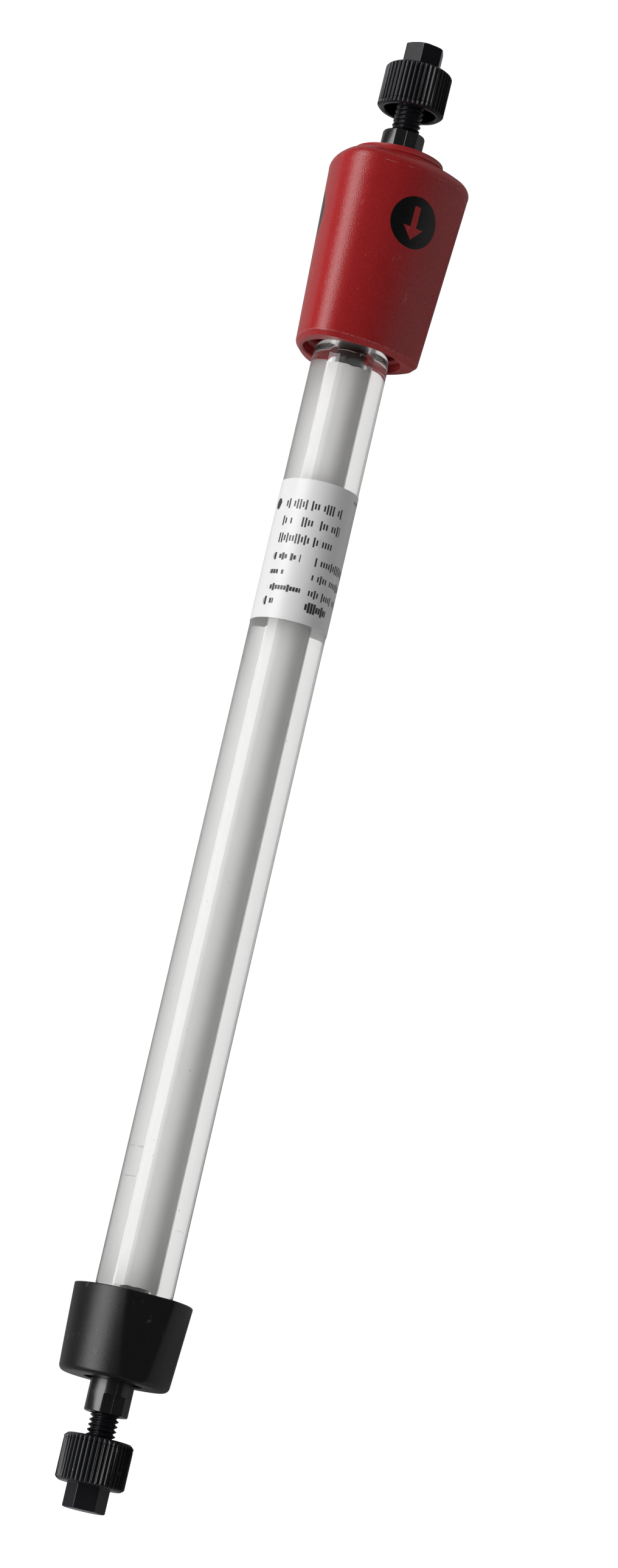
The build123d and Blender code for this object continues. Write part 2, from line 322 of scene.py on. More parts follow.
@dataclass(frozen=True)
class InletCapPlastic(MouldedPlastic):
    """Red plastic with a round black print on each face, pale along its parting line and at its rim's edge;
    at the rim's edge the pale band is partly wear and partly a painted highlight.
    """

    print_at: float = 100.3 * MM
    print_radius: float = 4.3 * MM
    print_turns: tuple[float, ...] = (60.0, 180.0, 300.0)
    face_reach: float = 7.0 * MM
    shaft_from: float = -0.9 * MM
    shaft_to: float = 2.7 * MM
    shaft_half: float = 0.55 * MM
    head_tip: float = 2.9 * MM
    head_base: float = -0.8 * MM
    head_slope: float = 0.9
    blur: float = 0.06 * MM
    parting: float = 108.8 * MM
    rim_edge: float = 79.3 * MM
    ink: Colour = rgb(0.0030, 0.0026, 0.0026)
    # Pale pink of the bands at the parting line and at the rim's edge; at the rim's edge it is partly wear
    # and partly a painted highlight.
    worn: Colour = rgb(0.50, 0.30, 0.30)

    def prints(self, graph: Graph) -> Value:
        """A disc on each face with an arrow left out of it that points with the flow.

        A disc is where the distance from its centre, along the axis and across the face, is under its
        radius. The arrow is a straight shaft and a head whose half width grows evenly from its tip.

        Args:
            graph: The material's nodes.
        Returns:
            1 where there is ink.
        """
        along = graph.axis("X") - self.print_at
        y, z = graph.axis("Y"), graph.axis("Z")
        shaft = along.within(self.shaft_from, self.shaft_to, self.blur)
        ink = None
        for turn in self.print_turns:
            cosine, sine = math.cos(math.radians(turn)), math.sin(math.radians(turn))
            across = abs(y * cosine + z * sine)
            out = (z * cosine - y * sine).above(self.face_reach, 0.1 * MM)
            disc = graph.math("SQRT", along * along + across * across).below(self.print_radius, 0.08 * MM)
            head = ((along + self.head_tip) * self.head_slope - across).above(0.0, self.blur)
            head = head * along.below(self.head_base, self.blur)
            arrow = graph.math("MAXIMUM", head, shaft * across.below(self.shaft_half, self.blur))
            face = disc * out * (1.0 - arrow)
            ink = face if ink is None else graph.math("MAXIMUM", ink, face)
        return ink

    def extras(self, graph: Graph, tone: Paint, rough: Value) -> tuple[Paint, Number]:
        """A thin pale band round the cap at the parting line and at the rim's edge, broken up by noise; at
        the rim's edge it is partly wear and partly a painted highlight. Ink covers it.

        Args:
            graph: The material's nodes.
            tone: Colour of the bare plastic.
            rough: Roughness of the bare plastic.
        Returns:
            The colour and the roughness with the pale bands and ink.
        """
        x = graph.axis("X")
        breaks = graph.noise(700.0, 3.0, 0.7)
        fine = graph.noise(2600.0, 2.0, 0.6)
        # Pale dashes along the parting line.
        parting = abs(x - self.parting).below(0.05 * MM, 0.04 * MM) * breaks.above(0.52, 0.05)
        # At the rim's edge: partly wear, partly a painted highlight along the edge.
        rim = abs(x - self.rim_edge).below(0.09 * MM, 0.08 * MM) * fine.above(0.47, 0.1)
        tone = graph.mix((0.35 * parting + 0.25 * rim).clamp(), tone, self.worn)
        ink = self.prints(graph)
        return graph.mix(ink, tone, self.ink), rough - 0.04 * ink


@dataclass(frozen=True)
class PistonPlastic(MouldedPlastic):
    """Black plastic with a thin pale line round its piston and a few white spots beside it: painted glints,
    standing for the light on a real wetting line and on real bubble surfaces.
    """

    # Where the painted glint line runs round the piston, and how far it wanders.
    line_at: float = 78.3 * MM
    line_half: float = 0.055 * MM
    line_wander: float = 0.9 * MM
    bubble_glints_from: float = 76.3 * MM
    bubble_glints_to: float = 78.1 * MM
    # Pale grey of the painted glints on the wetting line and on the bubble surfaces.
    pale: Colour = rgb(0.42, 0.41, 0.40)

    def extras(self, graph: Graph, tone: Paint, rough: Value) -> tuple[Paint, Number]:
        """The painted glint line wanders with broad noise; the painted bubble glints stand where crinkled
        noise is high on one side of it.

        Args:
            graph: The material's nodes.
            tone: Colour of the bare plastic.
            rough: Roughness of the bare plastic.
        Returns:
            The colour with the painted glints, and the roughness as it was.
        """
        x = graph.axis("X")
        wave = graph.noise(420.0, 2.0, 0.5, (0.2, 1.0, 1.0)) - 0.5
        off = x - self.line_at - self.line_wander * wave
        # Painted glint: a thin pale line where the liquid wets the piston.
        line = abs(off).below(self.line_half, 0.05 * MM) * graph.noise(1500.0).above(0.42, 0.08)
        # Painted glints on bubble surfaces beside the piston.
        bubble_glints = graph.noise(1900.0, 3.0, 0.7).above(0.60, 0.03)
        bubble_glints = bubble_glints * x.within(self.bubble_glints_from, self.bubble_glints_to, 0.2 * MM)
        bubble_glints = bubble_glints * graph.noise(330.0, 1.0, 0.5, (0.3, 1.0, 1.0)).above(0.57, 0.02)
        # The painted glints, line and bubble spots together.
        marks = (0.8 * line + 0.9 * bubble_glints).clamp()
        return graph.mix(marks, tone, self.pale), rough


@dataclass(frozen=True)
class ClearGlass:
    """Polished borosilicate glass with faint drawing lines and a few scratches; lamps shine through it."""

    name: str = "borosilicate_glass"
    tint: Colour = rgb(0.955, 0.955, 0.950)
    dust: Colour = rgb(0.60, 0.59, 0.57)
    clear: Colour = rgb(0.72, 0.719, 0.715)
    index: float = 1.473
    line_height: float = 0.0015 * MM
    ground_from: float = 3.4 * MM
    ground_to: float = 6.12 * MM
    ground_past: float = 78.6 * MM

    def material(self) -> bpy.types.Material:
        """A bending shader for what is seen through it, and a clear one for the rays that come from lamps.

        The turned-down shoulders and necks are left ground, with pale residue where fine noise is high.

        Returns:
            The material.
        """
        graph = Graph(self.name)
        lines = graph.noise(900.0, 2.0, 0.5, (0.01, 1.0, 1.0))
        scratches = graph.noise(2600.0, 2.0, 0.6, (0.04, 1.0, 1.0)).above(0.74, 0.02)
        x, y, z = (graph.axis(letter) for letter in "XYZ")
        radius = graph.math("SQRT", y * y + z * z)
        ground = radius.within(self.ground_from, self.ground_to, 0.12 * MM)
        ground = ground * abs(x).above(self.ground_past, 0.5 * MM)
        smears = graph.noise(2400.0, 3.0, 0.7)
        glass = graph.node("ShaderNodeBsdfPrincipled", None, {
            "Base Color": self.tint,
            "Roughness": (0.12 * scratches + ground * (0.04 + 0.28 * smears)).clamp(),
            "IOR": self.index,
            "Transmission Weight": 1.0,
            "Normal": graph.bump(lines, self.line_height),
        })
        outside = radius.above(self.ground_to, 0.05 * MM)
        specks = graph.cells(520.0).below(0.055, 0.03) * graph.noise(140.0).above(0.53, 0.03) * outside
        residue = smears.above(0.60, 0.05) * ground
        film = graph.node("ShaderNodeBsdfPrincipled", None, {"Base Color": self.dust, "Roughness": 0.8})
        glass = graph.blend((0.7 * specks + 0.22 * residue).clamp(), glass, film)
        clear = graph.node("ShaderNodeBsdfTransparent", None, {"Color": self.clear})
        lamp = graph.node("ShaderNodeLightPath").outputs["Is Shadow Ray"]
        return graph.surface(graph.blend(lamp, glass, clear))


@dataclass(frozen=True)
class PackedGel:
    """Wet white beads seen through glass; where they are seen edge on, the wetting liquid mirrors."""

    name: str = "packed_gel"
    colour: Colour = rgb(0.715, 0.712, 0.706)
    shade: Colour = rgb(0.655, 0.652, 0.645)
    liquid_over_glass: float = 0.912

    def material(self) -> bpy.types.Material:
        """Colour wanders between two near whites; the mirror's share is Fresnel's, for liquid under glass.

        Returns:
            The material.
        """
        graph = Graph(self.name)
        beads = graph.noise(9000.0, 2.0, 0.6)
        clouds = graph.noise(180.0, 3.0, 0.55, (0.5, 1.0, 1.0))
        body = graph.node("ShaderNodeBsdfPrincipled", None, {
            "Base Color": graph.mix((0.3 * beads + 0.7 * clouds).clamp(), self.colour, self.shade),
            "Roughness": 0.7,
            "Specular IOR Level": 0.0,
        })
        mirror = graph.node("ShaderNodeBsdfAnisotropic", None, {
            "Color": rgb(0.95, 0.95, 0.95), "Roughness": 0.05,
        })
        edge = graph.node("ShaderNodeFresnel", None, {"IOR": self.liquid_over_glass}).outputs[0]
        return graph.surface(graph.blend(edge, body, mirror))


@dataclass(frozen=True)
class PrintedFilm:
    """White satin film with rows of plain upright strokes where a label carries its data.

    Nothing can be read. Each row is its place along X, its first and last turn in degrees, the strokes'
    height and whether they are bold. The spot is a place along X and a turn.
    """

    name: str = "label_film"
    colour: Colour = rgb(0.74, 0.74, 0.74)
    shade: Colour = rgb(0.70, 0.70, 0.70)
    ink: Colour = rgb(0.012, 0.010, 0.010)
    roughness: float = 0.35
    stroke_pitch: float = 4.6
    stroke_halves: tuple[float, float] = (0.29, 0.42)
    bare_share: float = 0.17
    rows: tuple[tuple, ...] = (
        (51.2 * MM, -18.0, 74.0, 1.35 * MM, False), (48.3 * MM, -21.0, 76.0, 1.35 * MM, False),
        (45.4 * MM, -19.0, 68.0, 1.35 * MM, False), (42.3 * MM, -20.0, 25.0, 1.0 * MM, True),
        (42.3 * MM, 47.0, 118.0, 1.2 * MM, False), (39.7 * MM, -20.0, 4.0, 1.0 * MM, True),
        (39.7 * MM, 47.0, 120.0, 1.2 * MM, False), (37.1 * MM, -19.0, 35.0, 1.0 * MM, True),
        (37.1 * MM, 47.0, 112.0, 1.2 * MM, False), (34.8 * MM, -20.0, -2.0, 1.2 * MM, True),
        (34.8 * MM, 46.0, 86.0, 1.4 * MM, True), (54.2 * MM, 95.0, 160.0, 0.7 * MM, False),
    )
    spot: tuple[float, float] = (51.3 * MM, -38.0)
    spot_radius: float = 1.0 * MM
    spot_long: float = 0.95
    spot_wide: float = 0.85
    arc_of_degree: float = 0.111 * MM

    def print(self, graph: Graph) -> Value:
        """Ink where a stroke stands: the turn is cut into equal steps, and dice set each stroke's height.

        About one step in six is left bare, which parts the strokes into groups.

        Args:
            graph: The material's nodes.
        Returns:
            1 where there is ink.
        """
        x = graph.axis("X")
        turn = graph.math("ARCTAN2", -graph.axis("Y"), graph.axis("Z")) * (180.0 / math.pi)
        step = turn / self.stroke_pitch
        column = step.whole()
        place = step - column
        thin, bold = (abs(place - 0.5).below(half, 0.12) for half in self.stroke_halves)
        along = (x - self.spot[0]) / self.spot_long
        across = (turn - self.spot[1]) * (self.arc_of_degree / self.spot_wide)
        spot = graph.math("SQRT", along ** 2.0 + across ** 2.0).below(self.spot_radius, 0.1 * MM)
        ink = spot * graph.noise(1500.0, 2.0, 0.5, (0.3, 1.0, 1.0)).below(0.56, 0.04)
        for number, (station, first, last, height, heavy) in enumerate(self.rows):
            tall, kept = graph.dice(column, float(number))
            top = 0.5 * height * (0.72 + 0.5 * tall.above(0.6, 0.01))
            band = (top - abs(x - station)).above(0.0, 0.08 * MM)
            span = turn.within(first, last, 0.3)
            strokes = bold if heavy else thin
            ink = graph.math("MAXIMUM", ink, band * span * kept.above(self.bare_share, 0.01) * strokes)
        return ink

    def material(self) -> bpy.types.Material:
        """Broad noise shades the film a little, and the ink lies over it.

        Returns:
            The material.
        """
        graph = Graph(self.name)
        fibre = graph.noise(1400.0, 3.0, 0.6)
        film = graph.mix((0.5 * fibre + 0.5 * graph.noise(120.0)).clamp(), self.colour, self.shade)
        shader = graph.node("ShaderNodeBsdfPrincipled", None, {
            "Base Color": graph.mix(0.97 * self.print(graph), film, self.ink),
            "Roughness": (self.roughness + 0.1 * (fibre - 0.5)).clamp(),
            "Normal": graph.bump(fibre, 0.004 * MM),
        })
        return graph.surface(shader)


@dataclass(frozen=True)
class PlainMatter:
    """A simple finish for small inner pieces: one colour with fine noise, some bump and a metal share."""

    name: str
    colour: Colour
    shade: Colour
    roughness: float = 0.5
    metallic: float = 0.0
    grain_size: float = 0.3 * MM
    grain_height: float = 0.01 * MM
    stretch: Triple = EVEN

    def material(self) -> bpy.types.Material:
        """The colour follows the same fine noise as the bump.

        Returns:
            The material.
        """
        graph = Graph(self.name)
        grain = graph.noise(1.0 / self.grain_size, 3.0, 0.6, self.stretch)
        shader = graph.node("ShaderNodeBsdfPrincipled", None, {
            "Base Color": graph.mix(grain, self.colour, self.shade),
            "Roughness": (self.roughness + 0.12 * (grain - 0.5)).clamp(),
            "Metallic": self.metallic,
            "Normal": graph.bump(grain, self.grain_height),
        })
        return graph.surface(shader)


# ---------------------------------------------------------------- surfaces


@dataclass(frozen=True)
class Axle:
    """Lays shapes that are worked out about an axis onto the column.

    The direction is +1 at the inlet and -1 at the outlet. What is screwed on may sit a shade askew: its axis
    leans by a slope towards a turn, about a pivot station, and what is held in the glass stays straight.
    """

    direction: int
    slope: float = 0.0
    pivot: float = 0.0
    held: float = 0.0
    lean_turn: float = 120.0

    def place(self, radius: np.ndarray, turn: np.ndarray, station: np.ndarray) -> np.ndarray:
        """Points at a radius, a turn about the axis and a station outwards.

        A turn of 0 points up. It grows towards -Y at either end, so that both ends share one clock face.
        The lean adds slope times the distance past the pivot, in the direction of its turn; up to the
        station that is held, the distance is that station's.

        Args:
            radius: Distances from the axis.
            turn: Turns about the axis, in radians.
            station: Distances outwards from the end of the bed.
        Returns:
            Points, with X, Y and Z along a last dimension.
        """
        x = self.direction * (HALF_BED + station)
        lean = self.slope * (np.maximum(station, self.held) - self.pivot)
        to = math.radians(self.lean_turn)
        across = -radius * np.sin(turn) - lean * math.sin(to)
        up = radius * np.cos(turn) + lean * math.cos(to)
        return np.stack([x + 0 * radius, across, up], axis=-1)

    def rings(self, rows: list, turn: np.ndarray) -> np.ndarray:
        """Lays a profile round the axis, one ring for each of its rows.

        Args:
            rows: (radius, station) pairs; a radius is a number or has one value for each turn.
            turn: Turns about the axis in radians.
        Returns:
            Points as (rows, columns, 3).
        """
        radius = np.stack([row[0] + 0 * turn for row in rows])
        station = np.array([row[1] for row in rows])[:, None]
        return self.place(radius, turn[None, :] + 0 * radius, station + 0 * radius)


def mesh_piece(name: str, points: np.ndarray, faces: list, body: str,
               material: bpy.types.Material, sharp: float = 32.0) -> bpy.types.Object:
    """Makes one piece of the object from vertices and faces, smooth apart from edges sharper than an angle.

    Args:
        name: The piece's name.
        points: Vertices in the frame, in metres.
        faces: Tuples of vertex numbers.
        body: The body that it rides on.
        material: Its material.
        sharp: Edges that turn by more degrees than this stay crisp.
    Returns:
        The new object.
    """
    mesh = bpy.data.meshes.new(name)
    mesh.from_pydata(points.reshape(-1, 3).tolist(), [], faces)
    mesh.update()
    mesh.validate()
    mesh.materials.append(material)
    mesh.shade_smooth()
    mesh.set_sharp_from_angle(angle=math.radians(sharp))
    piece = bpy.data.objects.new(name, mesh)
    bpy.context.scene.collection.objects.link(piece)
    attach(piece, body)
    LOG.info("%s: %d faces on %s", name, len(mesh.polygons), body)
    return piece


def ring_faces(rows: int, columns: int, closed: bool) -> np.ndarray:
    """Quads between rings of equal count, and from the last ring back to the first if closed.

    Args:
        rows: Number of rings.
        columns: Points in a ring.
        closed: Whether the last ring joins the first.
    Returns:
        Rows of four vertex numbers.
    """
    row = np.arange(rows if closed else rows - 1)[:, None]
    column = np.arange(columns)[None, :]
    after = (row + 1) % rows
    beside = (column + 1) % columns
    quads = np.stack([
        row * columns + column, after * columns + column,
        after * columns + beside, row * columns + beside,
    ], axis=-1)
    return quads.reshape(-1, 4)


def outward(points: np.ndarray, faces: np.ndarray) -> np.ndarray:
    """Turns every face of a closed shell over if its signed volume is negative.

    The volume is a sixth of the sum, over the triangles, of a corner dotted with the cross of the others.

    Args:
        points: Vertices.
        faces: Quads, as rows of four vertex numbers.
    Returns:
        The quads, or the same quads reversed.
    """
    flat = points.reshape(-1, 3)
    a, b, c, d = (flat[faces[:, k]] for k in range(4))
    volume = np.einsum("ij,ij->", a, np.cross(b, c)) + np.einsum("ij,ij->", a, np.cross(c, d))
    return faces if volume > 0 else faces[:, ::-1]


def arc(centre: tuple[float, float], radius: float, start: float, stop: float, count: int) -> list:
    """Points on an arc in the (radius, station) plane: the centre plus radius times (cosine, sine).

    Args:
        centre: Its radius and station.
        radius: The arc's own radius.
        start: First angle in degrees.
        stop: Last angle in degrees.
        count: Number of points.
    Returns:
        (radius, station) pairs.
    """
    turns = np.radians(np.linspace(start, stop, count))
    return [(centre[0] + radius * math.cos(t), centre[1] + radius * math.sin(t)) for t in turns]


def clock(columns: int, start: float = 0.0) -> np.ndarray:
    """So many even turns about the axis, in radians, from a starting turn in degrees."""
    return math.radians(start) + np.arange(columns) * (TAU / columns)


def round_rings(x: np.ndarray, radius: np.ndarray, turn: np.ndarray) -> np.ndarray:
    """Points at (x, -radius times sine, radius times cosine) of each turn.

    Args:
        x: Places along the axis, as (rows, 1) or (rows, columns).
        radius: Radii as (rows, 1).
        turn: Turns about the axis in radians.
    Returns:
        Points as (rows, columns, 3).
    """
    return np.stack([x + 0 * turn, -radius * np.sin(turn) + 0 * x, radius * np.cos(turn) + 0 * x], axis=-1)


def crowded_clock(stops: list, gap: float) -> np.ndarray:
    """Turns in radians that hit every stop, given in degrees, with at most gap degrees between them.

    Each stretch from one stop to the next is cut into equal steps.

    Args:
        stops: Turns in degrees, in any order.
        gap: The widest step in degrees.
    Returns:
        Turns in radians, going up.
    """
    edges = np.unique(np.round(np.mod(np.array(stops, float), 360.0), 6))
    nexts = np.append(edges[1:], edges[0] + 360.0)
    spans = [
        np.linspace(low, high, max(1, math.ceil((high - low) / gap)), endpoint=False)
        for low, high in zip(edges, nexts)
    ]
    return np.radians(np.concatenate(spans))


def polygon_radius(turn: np.ndarray, sides: int, apothem: float, corner: float, roll: float) -> np.ndarray:
    """Distance from the axis to a regular polygon with rounded corners.

    On a flat it is the apothem over the cosine of the turn from that flat's middle. Round a corner it is
    the far crossing of a ray with the corner's circle, whose centre stands (apothem - corner) / cos(half
    step) out. When the corner equals the apothem, the outline is a circle.

    Args:
        turn: Turns about the axis in radians.
        sides: Number of flats.
        apothem: Distance from the axis to a flat.
        corner: Radius of the rounded corners.
        roll: Turn of one flat's middle, in degrees.
    Returns:
        One radius for each turn.
    """
    half = math.pi / sides
    off = np.mod(turn - math.radians(roll) + half, 2.0 * half) - half
    core = apothem - corner
    flat = apothem * np.abs(np.tan(off)) <= core * math.tan(half)
    away = half - np.abs(off)
    centre = core / math.cos(half)
    inside = np.maximum(corner ** 2 - (centre * np.sin(away)) ** 2, 0.0)
    return np.where(flat, apothem / np.cos(off), centre * np.cos(away) + np.sqrt(inside))


def crowned_radius(turn: np.ndarray, face: np.ndarray, corner: np.ndarray, face_out: float,
                   corner_out: float, roll: float) -> np.ndarray:
    """Distance from the axis to a triangle whose faces bulge and whose corners are round.

    A face is an arc whose centre stands face_out behind the axis, and a corner is an arc whose centre
    stands corner_out towards the corner. The two meet where the line through both centres cuts them. The
    radius is the far crossing of a ray with whichever circle it meets:
    centre x cosine + root of (circle radius squared - (centre x sine) squared).

    Args:
        turn: Turns about the axis in radians, as (1, columns).
        face: Radius of the face arcs, as (rows, 1).
        corner: Radius of the corner arcs, as (rows, 1).
        face_out: Distance of a face arc's centre behind the axis.
        corner_out: Distance of a corner arc's centre from the axis.
        roll: Turn of one face's middle, in degrees.
    Returns:
        Radii as (rows, columns).
    """
    third = TAU / 3.0
    off = np.abs(np.mod(turn - math.radians(roll) + third / 2.0, third) - third / 2.0)
    lean = math.atan2(corner_out * math.sin(third / 2.0), corner_out * math.cos(third / 2.0) + face_out)
    meet = np.arctan2(face * math.sin(lean), face * math.cos(lean) - face_out)
    away = third / 2.0 - off
    on_face = -face_out * np.cos(off) + np.sqrt(face ** 2 - (face_out * np.sin(off)) ** 2)
    inside = np.maximum(corner ** 2 - (corner_out * np.sin(away)) ** 2, 0.0)
    on_corner = corner_out * np.cos(away) + np.sqrt(inside)
    return np.where(off <= meet, on_face, on_corner)


def slab_radius(turn: np.ndarray, reach: float, half_width: float, core: float, roll: float,
                arms: int) -> np.ndarray:
    """Distance from the axis to a round core with straight-sided arms that stick out of it.

    Near an arm's middle it is the reach, then the half width over the sine of the turn from that middle,
    and never less than the core.

    Args:
        turn: Turns about the axis in radians.
        reach: Distance from the axis to an arm's end.
        half_width: Half of an arm's width.
        core: Radius of the core.
        roll: Turn of one arm's middle, in degrees.
        arms: Number of arms.
    Returns:
        One radius for each turn.
    """
    step = TAU / arms
    off = np.abs(np.mod(turn - math.radians(roll) + step / 2.0, step) - step / 2.0)
    side = half_width / np.maximum(np.sin(np.minimum(off, math.pi / 2.0)), 1e-9)
    return np.maximum(np.minimum(reach, side), core)


def shell(name: str, rings: np.ndarray, body: str, material: bpy.types.Material,
          capped: bool = False, sharp: float = 32.0) -> bpy.types.Object:
    """A closed piece from rings. The last ring joins the first, or each end is closed to a middle point.

    Args:
        name: The piece's name.
        rings: Points as (rows, columns, 3).
        body: The body that it rides on.
        material: Its material.
        capped: True when the ends are closed by fans of triangles.
        sharp: The angle past which an edge stays crisp.
    Returns:
        The new object.
    """
    rows, columns = rings.shape[:2]
    quads = ring_faces(rows, columns, closed=not capped)
    points = rings.reshape(-1, 3)
    if not capped:
        return mesh_piece(name, points, outward(points, quads).tolist(), body, material, sharp)
    middles = np.stack([rings[0].mean(axis=0), rings[-1].mean(axis=0)])
    points = np.concatenate([points, middles])
    turned = outward(points, np.concatenate([quads, cap_quads(rows, columns)]))
    sides, fans = turned[:len(quads)].tolist(), turned[len(quads):]
    return mesh_piece(name, points, sides + [tuple(dict.fromkeys(face)) for face in fans.tolist()],
                      body, material, sharp)


def cap_quads(rows: int, columns: int) -> np.ndarray:
    """Fans that close the first and the last ring to two extra points, as quads with one corner doubled.

    Args:
        rows: Number of rings.
        columns: Points in a ring.
    Returns:
        Rows of four vertex numbers; the two middle points come after the rings' own.
    """
    here = np.arange(columns)
    beside = (here + 1) % columns
    first = rows * columns
    last = first + 1
    tail = (rows - 1) * columns
    near = np.stack([here, beside, 0 * here + first, 0 * here + first], axis=-1)
    far = np.stack([tail + beside, tail + here, 0 * here + last, 0 * here + last], axis=-1)
    return np.concatenate([near, far])


def helix_height(turn: np.ndarray, station: np.ndarray, pitch: float, hand: int) -> np.ndarray:
    """Height of a V thread from 0 at its root to 1 at its crest, with both slightly rounded.

    The phase is station over pitch less the turn's share of a round. The height is a triangle wave of the
    phase, eased at its ends by a cosine.

    Args:
        turn: Turns about the axis in radians.
        station: Distances along the axis.
        pitch: How far the thread climbs in a turn.
        hand: Which way it climbs, +1 or -1.
    Returns:
        Heights from 0 to 1.
    """
    phase = np.mod(station / pitch - hand * turn / TAU, 1.0)
    wave = 1.0 - np.abs(2.0 * phase - 1.0)
    return 0.35 * wave + 0.65 * (0.5 - 0.5 * np.cos(math.pi * wave))


# ---------------------------------------------------------------- the pieces


@dataclass
class GlassTube:
    """Thick tube with rounded shoulders, turned down at each end to a neck with a flange behind it."""

    bore: float = 2.5 * MM
    outer: float = 6.25 * MM
    neck: float = 4.25 * MM
    flange: float = 5.6 * MM
    shoulder: float = 1.9 * MM
    flange_length: float = 2.5 * MM
    mouth: float = 0.4 * MM
    inlet_end: float = 3.0 * MM
    outlet_end: float = 1.8 * MM
    inlet_flange: float = 8.5 * MM
    outlet_flange: float = 6.5 * MM
    fine: float = 0.3 * MM
    crease: float = 0.08 * MM
    columns: int = 288

    def end_profile(self, shoulder_end: float, root: float) -> list:
        """One end from the tube's wall round the flange to the bore.

        Args:
            shoulder_end: Station where the shoulder reaches the neck.
            root: Station where the flange starts.
        Returns:
            (radius, station) pairs.
        """
        tip = root + self.flange_length
        fine, crease = self.fine, self.crease
        return (
            arc((self.outer - self.shoulder, shoulder_end - self.shoulder), self.shoulder, 0, 90, 14)
            + arc((self.neck + crease, shoulder_end + crease), crease, 270, 180, 5)
            + [(self.neck, root)]
            + arc((self.flange - fine, root + fine), fine, 270, 360, 5)
            + arc((self.flange - fine, tip - fine), fine, 0, 90, 5)
            + [(self.bore + self.mouth, tip), (self.bore, tip - self.mouth)]
        )

    def build(self, material: bpy.types.Material) -> None:
        """The profile goes along the wall from one end to the other and back through the bore.

        Args:
            material: The glass.
        """
        inlet = [(r, HALF_BED + u) for r, u in self.end_profile(self.inlet_end, self.inlet_flange)]
        outlet = [(r, -HALF_BED - u) for r, u in self.end_profile(self.outlet_end, self.outlet_flange)]
        radius, x = np.array(outlet[::-1] + inlet, float).T
        turn = clock(self.columns)
        rings = round_rings(x[:, None], radius[:, None], turn)
        piece = shell("tube_glass", rings, "column", material)
        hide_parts("glass_tube")


@dataclass
class PackedBed:
    """The white bed. It is a hair wider than the bore, so that glass and gel meet with no air between."""

    radius: float = 2.503 * MM
    inlet_short: float = 0.85 * MM
    outlet_short: float = 0.24 * MM
    inlet_wave: float = 0.13 * MM
    outlet_wave: float = 0.04 * MM
    columns: int = 192

    def edge(self, turn: np.ndarray) -> np.ndarray:
        """How far the gel's edge wanders along the axis: a sum of three sines of the turn."""
        return (np.sin(2.0 * turn + 0.6) + 0.7 * np.sin(5.0 * turn + 2.0) + 0.5 * np.sin(11.0 * turn)) / 1.6

    def build(self, material: bpy.types.Material) -> None:
        """A cylinder with closed, uneven ends, each a little short of the bed's length.

        Args:
            material: The gel.
        """
        turn = clock(self.columns)
        outlet = self.outlet_short - HALF_BED + self.outlet_wave * self.edge(turn)
        inlet = HALF_BED - self.inlet_short + self.inlet_wave * self.edge(-turn)
        x = np.stack([outlet, 0 * turn, inlet])
        rings = round_rings(x, np.full((3, 1), self.radius), turn)
        piece = shell("bed_of_gel", rings, "column", material, capped=True)
        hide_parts("gel_bed")


@dataclass
class Label:
    """White film wrapped once round the glass, with rows of plain marks in place of words."""

    start: float = 32.0 * MM
    length: float = 23.5 * MM
    inner: float = 6.245 * MM
    outer: float = 6.35 * MM
    columns: int = 256

    def build(self, material: bpy.types.Material) -> None:
        """A band of four rings, closed on itself.

        Args:
            material: The printed film.
        """
        turn = clock(self.columns)
        stop = self.start + self.length
        radius = np.array([self.inner, self.outer, self.outer, self.inner])[:, None]
        x = np.array([self.start, self.start, stop, stop])[:, None]
        rings = round_rings(x, radius, turn)
        piece = shell("label_band", rings, "column", material)
        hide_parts("label")


@dataclass
class Hollow:
    """The inside of a cap: entry, threaded bore, ledge, stem hole and recess for the snap ring."""

    rim: float
    entry: float
    ledge: float
    outer_end: float
    bore: float = 7.68 * MM
    entry_depth: float = 1.6 * MM
    stem_hole: float = 3.55 * MM
    ledge_thickness: float = 1.2 * MM
    recess: float = 4.7 * MM
    thread_depth: float = 0.32 * MM
    pitch: float = 1.5 * MM
    edge: float = 0.2 * MM

    def rows(self) -> list:
        """The profile from the rim inwards and out again at the recess.

        Returns:
            (radius, station, share of thread) triples.
        """
        start = self.rim + self.entry_depth
        seat = start + self.entry - self.bore
        thread_end = min(seat + 9.0 * self.pitch, self.ledge - self.pitch)
        turns = max(2, round((thread_end - seat) / (self.pitch / 12.0)))
        thread = [(self.bore, u, 1.0) for u in np.linspace(seat, thread_end, turns)]
        floor = self.ledge + self.ledge_thickness
        return (
            [(self.entry + self.edge, self.rim, 0.0), (self.entry, self.rim + self.edge, 0.0)]
            + [(self.entry, start, 0.0), (self.bore, seat, 0.0), *thread, (self.bore, self.ledge, 0.0)]
            + [(self.stem_hole, self.ledge, 0.0), (self.stem_hole, floor, 0.0)]
            + [(self.recess, floor, 0.0), (self.recess, self.outer_end, 0.0)]
        )

    def rings(self, axle: Axle, turn: np.ndarray) -> np.ndarray:
        """The bore is widened by the thread's groove times the profile's share of thread.

        Args:
            axle: Lays the rings onto the column.
            turn: Turns about the axis in radians.
        Returns:
            Points as (rows, columns, 3).
        """
        radius, station, share = np.array(self.rows(), float).T[:, :, None]
        groove = helix_height(turn[None, :], station, self.pitch, axle.direction)
        return axle.place(radius + share * self.thread_depth * groove, turn[None, :] + 0 * radius,
                          station + 0 * turn[None, :])


